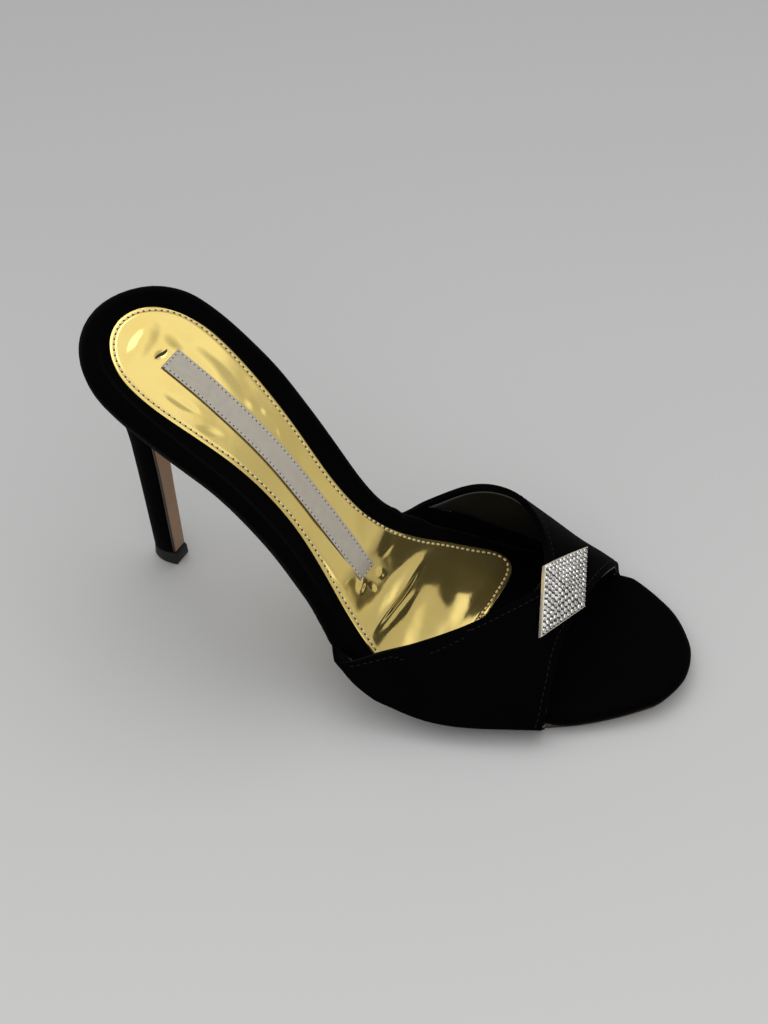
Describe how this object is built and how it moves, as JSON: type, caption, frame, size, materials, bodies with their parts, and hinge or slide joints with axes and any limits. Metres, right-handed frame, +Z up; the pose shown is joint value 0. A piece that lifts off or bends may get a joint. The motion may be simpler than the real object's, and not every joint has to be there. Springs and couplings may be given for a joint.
{
  "type": "high heel shoe",
  "caption": "Open-toed high-heel mule for the right foot: wide crossed straps under a rhombic brooch, long open toe, narrow sock and a slim covered stiletto heel.",
  "frame": {"origin": "middle of the shoe's box in plan, on the floor the shoe stands on", "axes": "+X along the shoe to the toe, +Y to the inner side of the foot, +Z up"},
  "size_m": [0.2093, 0.0892, 0.1092],
  "materials": {
    "velvet": "deep black velvet",
    "gold_leather": "mirror gold foil on thin leather",
    "label_cloth": "plain pale woven patch",
    "tan_leather": "smooth natural tan, satin",
    "lift_rubber": "matt dark grey",
    "brooch_metal": "pale gold plating set with clear stones"
  },
  "bodies": {
    "root": {"footbed": "velvet", "heel": "velvet", "upper": "velvet", "sock": "gold_leather", "label_patch": "label_cloth", "outsole": "tan_leather", "top_lift": "lift_rubber", "brooch": "brooch_metal"}
  },
  "joints": []
}
